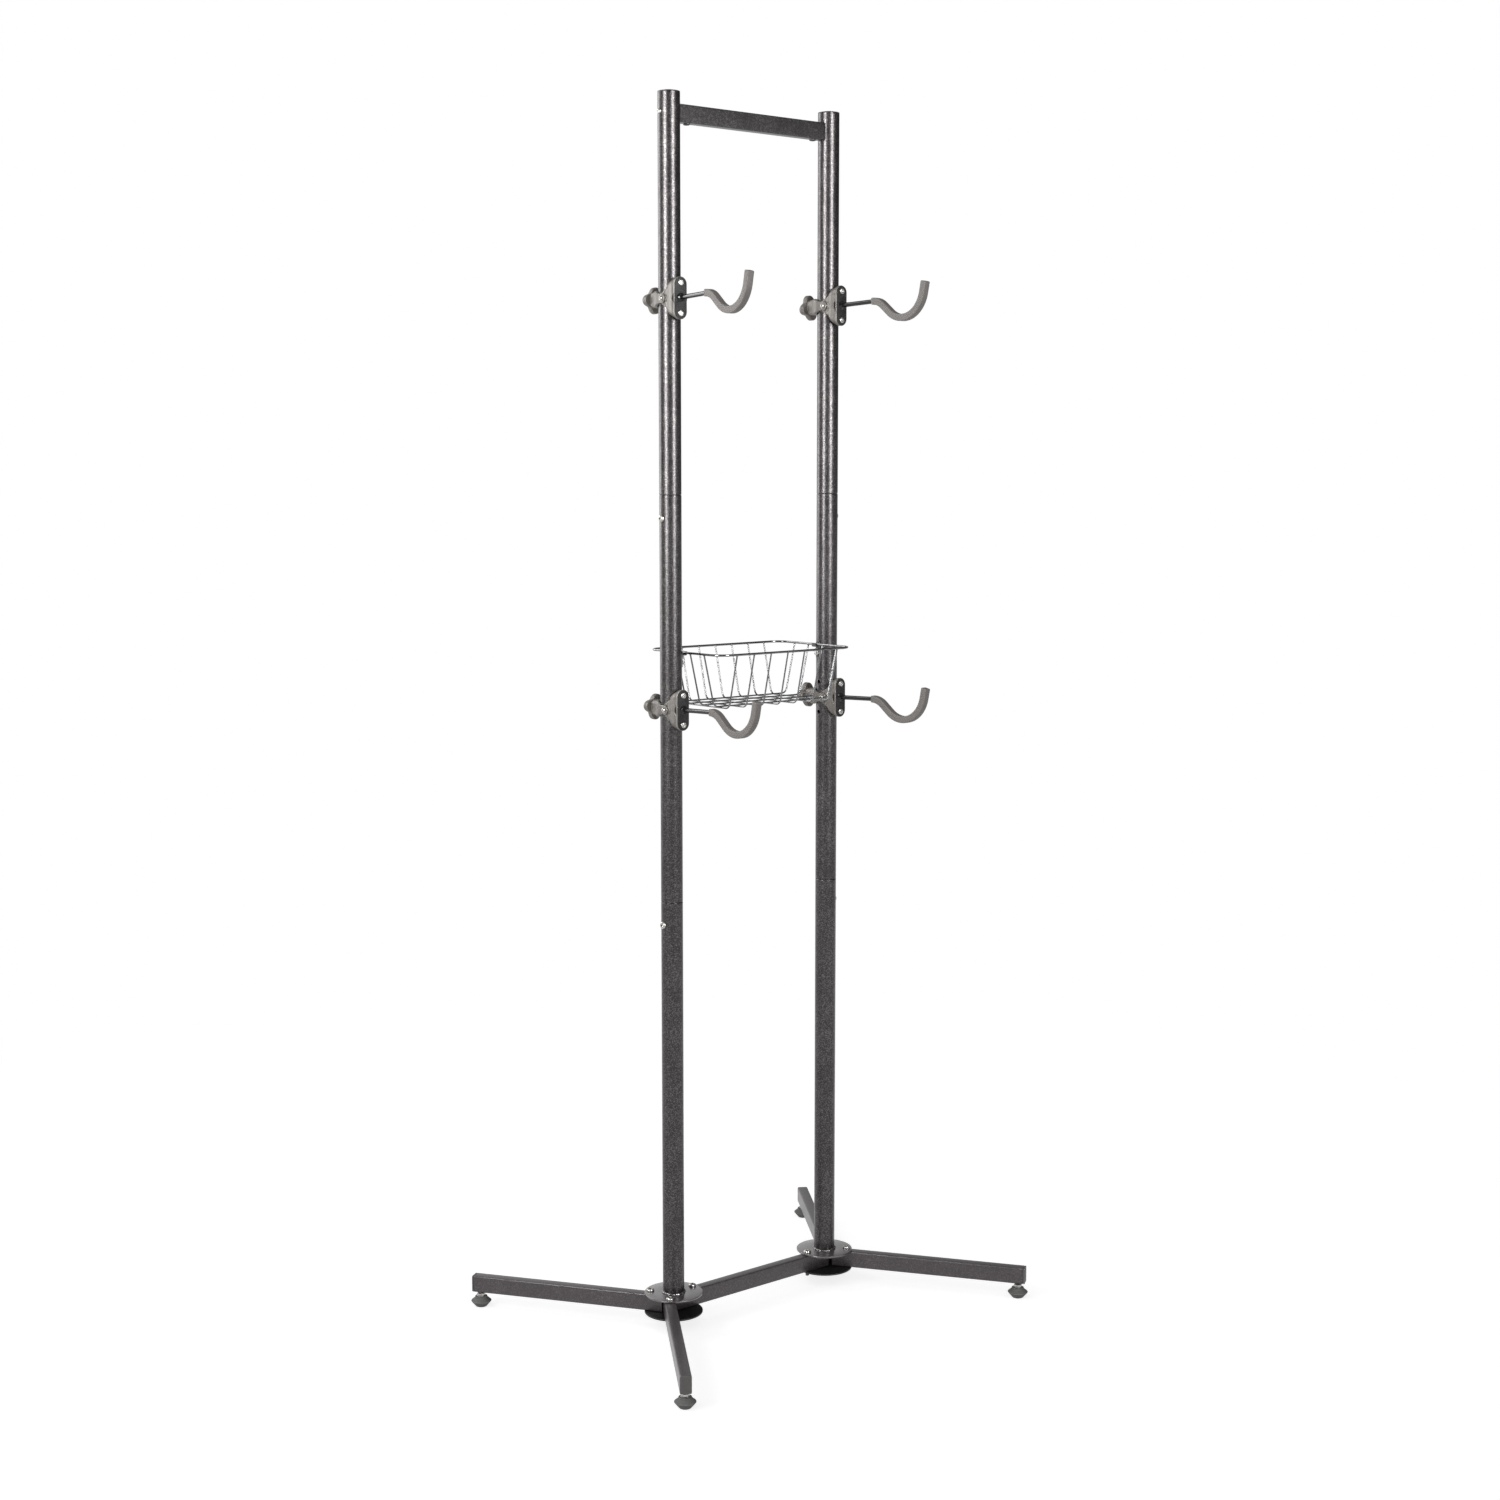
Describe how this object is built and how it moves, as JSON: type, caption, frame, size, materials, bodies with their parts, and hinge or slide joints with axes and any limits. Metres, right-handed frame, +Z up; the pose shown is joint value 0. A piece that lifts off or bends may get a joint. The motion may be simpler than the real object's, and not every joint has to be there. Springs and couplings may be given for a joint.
{
  "type": "freestanding bike stand",
  "caption": "Tall freestanding bike stand: posts with sliding, swivelling hook clamps in soft sleeves, a wire basket hung between them and a splayed base on rubber feet.",
  "frame": {"origin": "on the floor, midway between the two posts", "axes": "+Z up along the posts, +X from the left post to the right post as seen from the front, -Y towards the hooks"},
  "size_m": [0.819, 0.6356, 2.1455],
  "materials": {
    "post_paint": "dark grey hammered paint with lighter veins, semi-gloss",
    "base_paint": "dark grey fine hammered paint, semi-gloss",
    "plate_paint": "grey paint, gloss",
    "cast_grey": "warm grey paint on a casting, satin",
    "black_rod": "black enamel, gloss",
    "bracket_paint": "black paint, satin",
    "sleeve_rubber": "soft grey rubber, matte",
    "foot_rubber": "dark grey rubber, matte",
    "chrome_wire": "chromed wire, bright",
    "steel": "zinc-plated steel",
    "nylon": "black plastic, matte"
  },
  "bodies": {
    "frame": {"post_lower_left": "post_paint", "post_lower_right": "post_paint", "post_middle_left": "post_paint", "post_middle_right": "post_paint", "post_upper_left": "post_paint", "post_upper_right": "post_paint", "post_cap_left": "nylon", "post_cap_right": "nylon", "top_bar": "post_paint", "top_bar_bolt_left": "steel", "top_bar_bolt_right": "steel", "seam_bolt_lower_left": "steel", "seam_bolt_lower_right": "steel", "seam_bolt_upper_left": "steel", "seam_bolt_upper_right": "steel", "base_plate_left": "plate_paint", "base_plate_right": "plate_paint", "base_bar": "base_paint", "leg_front_left": "base_paint", "leg_front_right": "base_paint", "leg_back_left": "base_paint", "leg_back_right": "base_paint", "base_bolt_bar_left": "steel", "base_bolt_bar_right": "steel", "base_bolt_front_left": "steel", "base_bolt_front_right": "steel", "base_bolt_back_left": "steel", "base_bolt_back_right": "steel", "bracket_left": "bracket_paint", "bracket_right": "bracket_paint"},
    "slider_upper_left": {"liner_upper_left": "nylon"},
    "clamp_upper_left": {"saddle_upper_left": "cast_grey", "yoke_upper_left": "cast_grey", "arm_upper_left": "black_rod", "sleeve_upper_left": "sleeve_rubber"},
    "star_upper_left": {"knob_upper_left": "cast_grey"},
    "slider_upper_right": {"liner_upper_right": "nylon"},
    "clamp_upper_right": {"saddle_upper_right": "cast_grey", "yoke_upper_right": "cast_grey", "arm_upper_right": "black_rod", "sleeve_upper_right": "sleeve_rubber"},
    "star_upper_right": {"knob_upper_right": "cast_grey"},
    "slider_lower_left": {"liner_lower_left": "nylon"},
    "clamp_lower_left": {"saddle_lower_left": "cast_grey", "yoke_lower_left": "cast_grey", "arm_lower_left": "black_rod", "sleeve_lower_left": "sleeve_rubber"},
    "star_lower_left": {"knob_lower_left": "cast_grey"},
    "slider_lower_right": {"liner_lower_right": "nylon"},
    "clamp_lower_right": {"saddle_lower_right": "cast_grey", "yoke_lower_right": "cast_grey", "arm_lower_right": "black_rod", "sleeve_lower_right": "sleeve_rubber"},
    "star_lower_right": {"knob_lower_right": "cast_grey"},
    "pad_front_left": {"foot_front_left": "foot_rubber"},
    "pad_front_right": {"foot_front_right": "foot_rubber"},
    "pad_back_left": {"foot_back_left": "foot_rubber"},
    "pad_back_right": {"foot_back_right": "foot_rubber"},
    "wire_basket": {"basket": "chrome_wire"}
  },
  "joints": [
    {"name": "height_upper_left", "type": "slide", "parent": "frame", "child": "slider_upper_left", "axis": [0, 0, 1], "range_m": [-0.335, 0.262]},
    {"name": "swivel_upper_left", "type": "hinge", "parent": "slider_upper_left", "child": "clamp_upper_left", "pos_m": [-0.18, 0, 1.8012], "axis": [0, 0, 1], "range_deg": [-30, 30]},
    {"name": "knob_upper_left", "type": "hinge", "parent": "clamp_upper_left", "child": "star_upper_left", "pos_m": [-0.18, 0, 1.8012], "axis": [0.1063, 0.9943, 0], "continuous": true},
    {"name": "height_upper_right", "type": "slide", "parent": "frame", "child": "slider_upper_right", "axis": [0, 0, 1], "range_m": [-0.34, 0.255]},
    {"name": "swivel_upper_right", "type": "hinge", "parent": "slider_upper_right", "child": "clamp_upper_right", "pos_m": [0.18, 0, 1.805], "axis": [0, 0, 1], "range_deg": [-30, 30]},
    {"name": "knob_upper_right", "type": "hinge", "parent": "clamp_upper_right", "child": "star_upper_right", "pos_m": [0.18, 0, 1.805], "axis": [-0.0244, 0.9997, 0], "continuous": true},
    {"name": "height_lower_left", "type": "slide", "parent": "frame", "child": "slider_lower_left", "axis": [0, 0, 1], "range_m": [-0.345, 0.01]},
    {"name": "swivel_lower_left", "type": "hinge", "parent": "slider_lower_left", "child": "clamp_lower_left", "pos_m": [-0.18, 0, 1.1052], "axis": [0, 0, 1], "range_deg": [-15, 15]},
    {"name": "knob_lower_left", "type": "hinge", "parent": "clamp_lower_left", "child": "star_lower_left", "pos_m": [-0.18, 0, 1.1052], "axis": [0.0419, 0.9991, 0], "continuous": true},
    {"name": "height_lower_right", "type": "slide", "parent": "frame", "child": "slider_lower_right", "axis": [0, 0, 1], "range_m": [-0.345, 0.01]},
    {"name": "swivel_lower_right", "type": "hinge", "parent": "slider_lower_right", "child": "clamp_lower_right", "pos_m": [0.18, 0, 1.1045], "axis": [0, 0, 1], "range_deg": [-15, 15]},
    {"name": "knob_lower_right", "type": "hinge", "parent": "clamp_lower_right", "child": "star_lower_right", "pos_m": [0.18, 0, 1.1045], "axis": [-0.068, 0.9977, 0], "continuous": true},
    {"name": "foot_height_front_left", "type": "slide", "parent": "frame", "child": "pad_front_left", "axis": [0, 0, -1], "range_m": [0, 0.012]},
    {"name": "foot_height_front_right", "type": "slide", "parent": "frame", "child": "pad_front_right", "axis": [0, 0, -1], "range_m": [0, 0.012]},
    {"name": "foot_height_back_left", "type": "slide", "parent": "frame", "child": "pad_back_left", "axis": [0, 0, -1], "range_m": [0, 0.012]},
    {"name": "foot_height_back_right", "type": "slide", "parent": "frame", "child": "pad_back_right", "axis": [0, 0, -1], "range_m": [0, 0.012]},
    {"name": "basket_lift", "type": "slide", "parent": "frame", "child": "wire_basket", "axis": [0, 0, 1], "range_m": [0, 0.15]}
  ]
}
